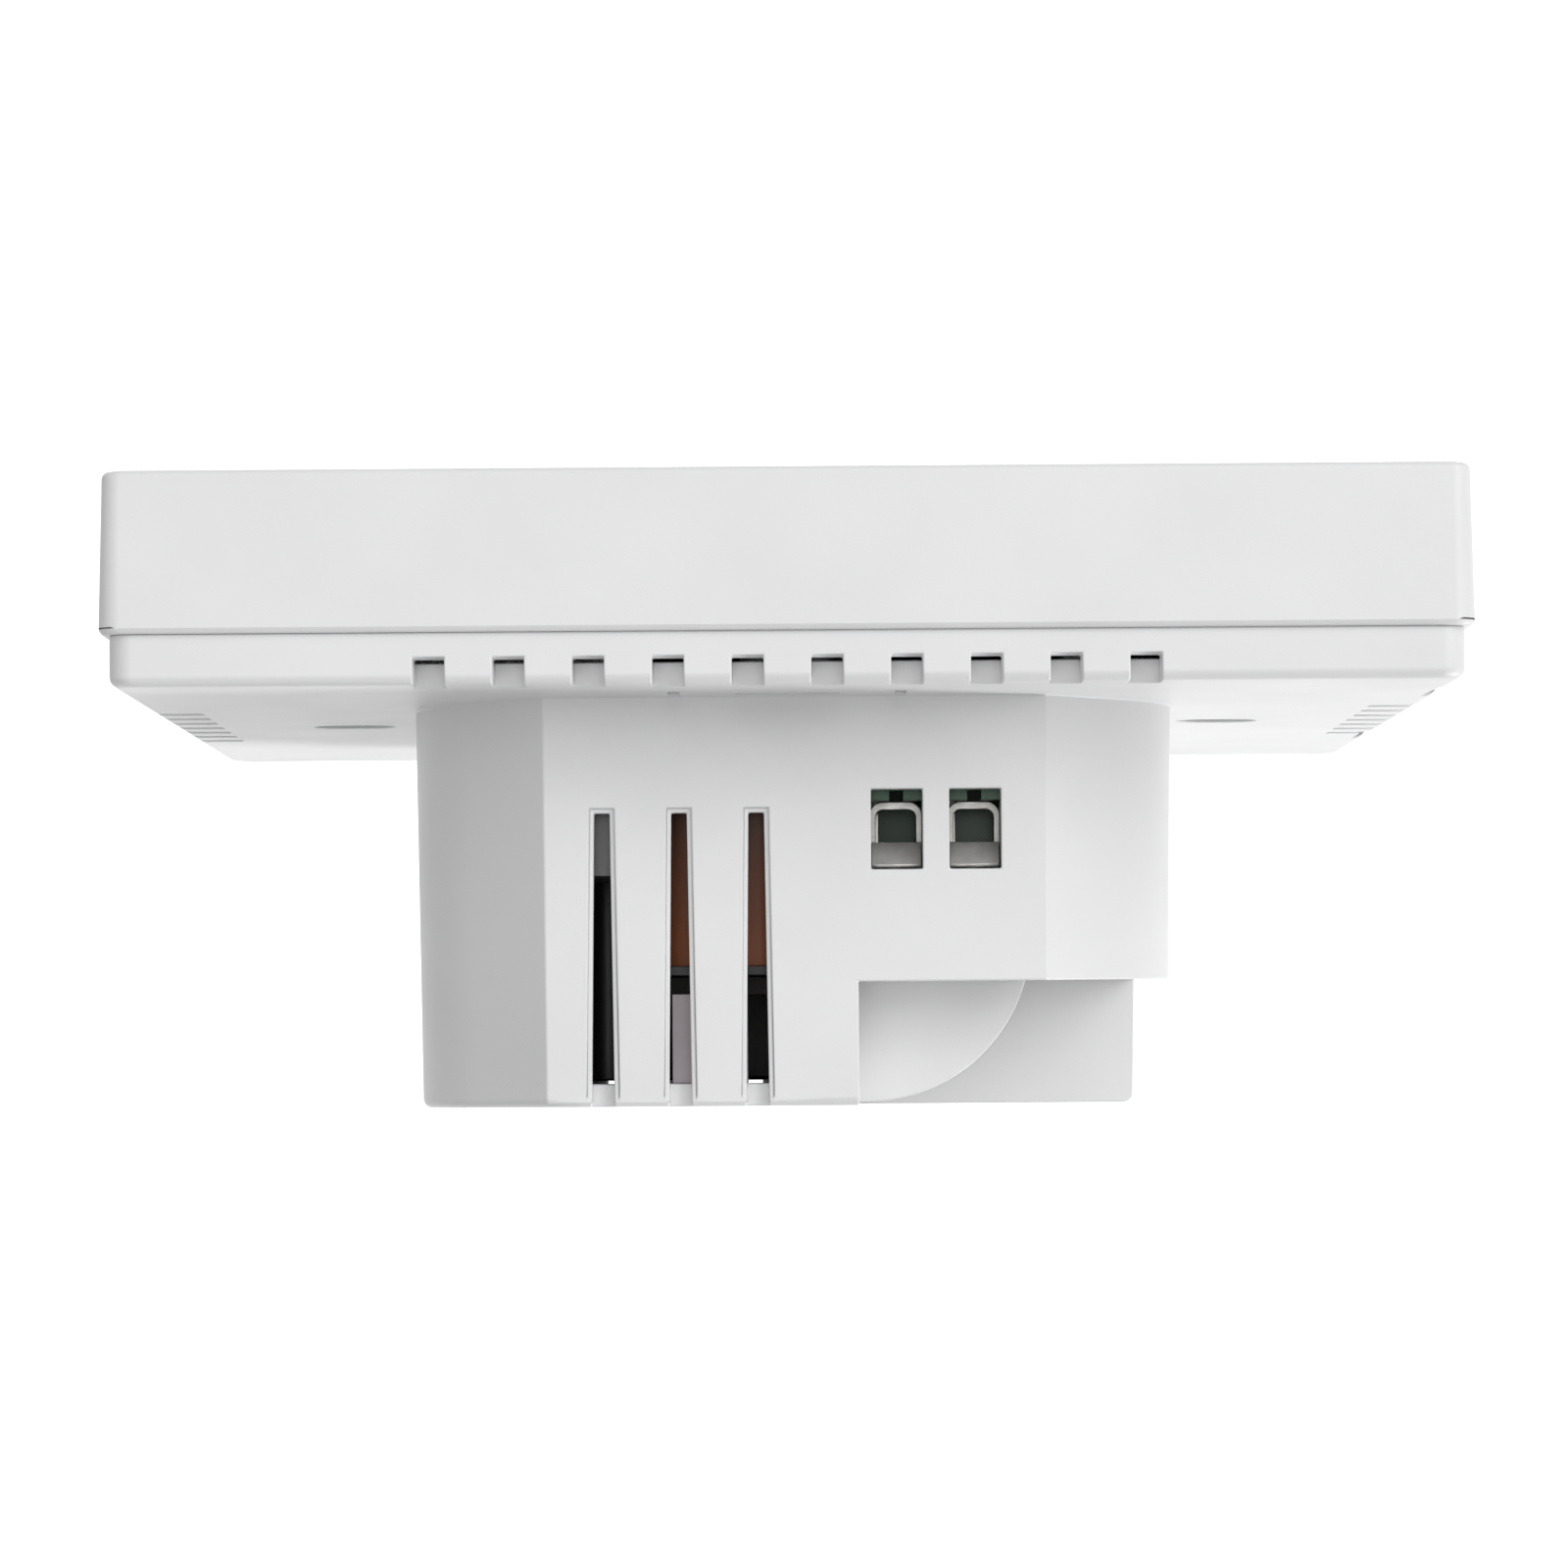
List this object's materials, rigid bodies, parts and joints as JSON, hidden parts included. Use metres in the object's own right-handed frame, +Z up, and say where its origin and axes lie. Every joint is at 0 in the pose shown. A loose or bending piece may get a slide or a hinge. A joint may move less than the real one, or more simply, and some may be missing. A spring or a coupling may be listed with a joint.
{
  "type": "wall thermostat",
  "caption": "Recessed room thermostat: a square front with display and keys pulls off a base plate whose rear box holds the power board and screw terminals.",
  "frame": {"origin": "midpoint between the two wall screw slots, on the base plate rear face that lies on the wall", "axes": "+X right and +Z up as seen from the room, +Y into the wall"},
  "size_m": [0.0864, 0.0404, 0.0864],
  "materials": {
    "white_plastic": "fine satin moulded white plastic",
    "inner_plastic": "plain moulded white plastic",
    "window": "smoked clear window, glossy",
    "lcd": "liquid crystal display glass",
    "diffuser": "milky light guide",
    "elastomer": "layered conductive rubber",
    "circuit_board": "green solder mask over glass laminate",
    "radio_board": "blue solder mask",
    "black_plastic": "black moulded plastic",
    "relay_plastic": "black relay case",
    "green_plastic": "green terminal block plastic",
    "tinned_metal": "tinned sheet metal",
    "zinc_steel": "zinc plated steel screws",
    "gold": "gold plated contact pins",
    "spring_brass": "bronze contact blades",
    "core_steel": "dark laminated core",
    "tape": "brown polyester tape over the winding",
    "enamel_wire": "enamelled copper winding",
    "capacitor_sleeve": "black printed sleeve",
    "thermal_pad": "grey violet silicone gap pad",
    "film_case": "grey moulded capacitor case",
    "varistor_blue": "blue epoxy coating",
    "fuse_glass": "glass fuse tube with metal caps",
    "sensor_bead": "black bead on two wires",
    "key_plastic": "satin white key caps"
  },
  "bodies": {
    "base": {"rear_housing": "white_plastic", "inner_cover": "inner_plastic", "power_board": "circuit_board", "power_board_screws": "zinc_steel", "transformer_core": "core_steel", "transformer_bobbin": "black_plastic", "transformer_winding": "tape", "electrolytic_capacitor": "capacitor_sleeve", "film_capacitor": "film_case", "thermal_pad": "thermal_pad", "varistor": "varistor_blue", "fuse": "fuse_glass", "bridge_rectifier": "black_plastic", "relay_base": "relay_plastic", "relay_case": "relay_plastic", "relay_coil": "enamel_wire", "relay_yoke": "zinc_steel", "relay_contacts": "spring_brass", "sensor_terminal_block": "green_plastic", "mains_terminal_block": "green_plastic", "sensor_contacts": "tinned_metal", "mains_contacts": "tinned_metal", "board_socket": "black_plastic"},
    "front": {"front_cover": "white_plastic", "display_window": "window", "lcd_panel": "lcd", "lcd_holder": "diffuser", "zebra_strips": "elastomer", "display_board": "circuit_board", "display_board_screws": "zinc_steel", "mcu_chip": "black_plastic", "radio_module": "radio_board", "radio_shield": "tinned_metal", "buzzer": "black_plastic", "room_sensor": "sensor_bead", "pin_header": "black_plastic", "header_pins": "gold", "tact_switches": "black_plastic"},
    "key_power_body": {"key_power": "key_plastic", "plunger_power": "black_plastic"},
    "key_menu_body": {"key_menu": "key_plastic", "plunger_menu": "black_plastic"},
    "key_down_body": {"key_down": "key_plastic", "plunger_down": "black_plastic"},
    "key_up_body": {"key_up": "key_plastic", "plunger_up": "black_plastic"},
    "screw_1_body": {"clamp_screw_1": "zinc_steel"},
    "cage_1_body": {"clamp_cage_1": "tinned_metal"},
    "screw_2_body": {"clamp_screw_2": "zinc_steel"},
    "cage_2_body": {"clamp_cage_2": "tinned_metal"},
    "screw_3_body": {"clamp_screw_3": "zinc_steel"},
    "cage_3_body": {"clamp_cage_3": "tinned_metal"},
    "screw_4_body": {"clamp_screw_4": "zinc_steel"},
    "cage_4_body": {"clamp_cage_4": "tinned_metal"},
    "screw_5_body": {"clamp_screw_5": "zinc_steel"},
    "cage_5_body": {"clamp_cage_5": "tinned_metal"},
    "screw_6_body": {"clamp_screw_6": "zinc_steel"},
    "cage_6_body": {"clamp_cage_6": "tinned_metal"},
    "armature_body": {"relay_armature": "zinc_steel"}
  },
  "joints": [
    {"name": "front_pull", "type": "slide", "parent": "base", "child": "front", "axis": [0, -1, 0], "range_m": [0, 0.03]},
    {"name": "key_power_press", "type": "slide", "parent": "front", "child": "key_power_body", "axis": [0, 1, 0], "range_m": [0, 0.0003], "stiffness_N_per_m": 4000, "springref_m": -0.0001},
    {"name": "key_menu_press", "type": "slide", "parent": "front", "child": "key_menu_body", "axis": [0, 1, 0], "range_m": [0, 0.0003], "stiffness_N_per_m": 4000, "springref_m": -0.0001},
    {"name": "key_down_press", "type": "slide", "parent": "front", "child": "key_down_body", "axis": [0, 1, 0], "range_m": [0, 0.0003], "stiffness_N_per_m": 4000, "springref_m": -0.0001},
    {"name": "key_up_press", "type": "slide", "parent": "front", "child": "key_up_body", "axis": [0, 1, 0], "range_m": [0, 0.0003], "stiffness_N_per_m": 4000, "springref_m": -0.0001},
    {"name": "clamp_1_turn", "type": "hinge", "parent": "base", "child": "screw_1_body", "pos_m": [-0.00706, 0.0135, 0.024], "axis": [0, 1, 0], "range_deg": [-720, 960]},
    {"name": "clamp_1_lift", "type": "slide", "parent": "base", "child": "cage_1_body", "axis": [0, 1, 0], "range_m": [-0.0012, 0.0009]},
    {"name": "clamp_2_turn", "type": "hinge", "parent": "base", "child": "screw_2_body", "pos_m": [-0.01214, 0.0135, 0.024], "axis": [0, 1, 0], "range_deg": [-720, 960]},
    {"name": "clamp_2_lift", "type": "slide", "parent": "base", "child": "cage_2_body", "axis": [0, 1, 0], "range_m": [-0.0012, 0.0009]},
    {"name": "clamp_3_turn", "type": "hinge", "parent": "base", "child": "screw_3_body", "pos_m": [-0.0201, 0.0135, -0.00275], "axis": [0, 1, 0], "range_deg": [-720, 960]},
    {"name": "clamp_3_lift", "type": "slide", "parent": "base", "child": "cage_3_body", "axis": [0, 1, 0], "range_m": [-0.0012, 0.0009]},
    {"name": "clamp_4_turn", "type": "hinge", "parent": "base", "child": "screw_4_body", "pos_m": [-0.0201, 0.0135, 0.00233], "axis": [0, 1, 0], "range_deg": [-720, 960]},
    {"name": "clamp_4_lift", "type": "slide", "parent": "base", "child": "cage_4_body", "axis": [0, 1, 0], "range_m": [-0.0012, 0.0009]},
    {"name": "clamp_5_turn", "type": "hinge", "parent": "base", "child": "screw_5_body", "pos_m": [-0.0201, 0.0135, 0.00741], "axis": [0, 1, 0], "range_deg": [-720, 960]},
    {"name": "clamp_5_lift", "type": "slide", "parent": "base", "child": "cage_5_body", "axis": [0, 1, 0], "range_m": [-0.0012, 0.0009]},
    {"name": "clamp_6_turn", "type": "hinge", "parent": "base", "child": "screw_6_body", "pos_m": [-0.0201, 0.0135, 0.01249], "axis": [0, 1, 0], "range_deg": [-720, 960]},
    {"name": "clamp_6_lift", "type": "slide", "parent": "base", "child": "cage_6_body", "axis": [0, 1, 0], "range_m": [-0.0012, 0.0009]},
    {"name": "relay_switch", "type": "hinge", "parent": "base", "child": "armature_body", "pos_m": [0.0131, 0.02005, -0.0156], "axis": [0, 0, 1], "range_deg": [0, 4], "stiffness_Nm_per_rad": 0.05, "springref_deg": -1.15}
  ],
  "couplings": [
    {"joint": "clamp_1_turn", "follows": "clamp_1_lift", "rad_per_m": -13963},
    {"joint": "clamp_2_turn", "follows": "clamp_2_lift", "rad_per_m": -13963},
    {"joint": "clamp_3_turn", "follows": "clamp_3_lift", "rad_per_m": -13963},
    {"joint": "clamp_4_turn", "follows": "clamp_4_lift", "rad_per_m": -13963},
    {"joint": "clamp_5_turn", "follows": "clamp_5_lift", "rad_per_m": -13963},
    {"joint": "clamp_6_turn", "follows": "clamp_6_lift", "rad_per_m": -13963}
  ]
}
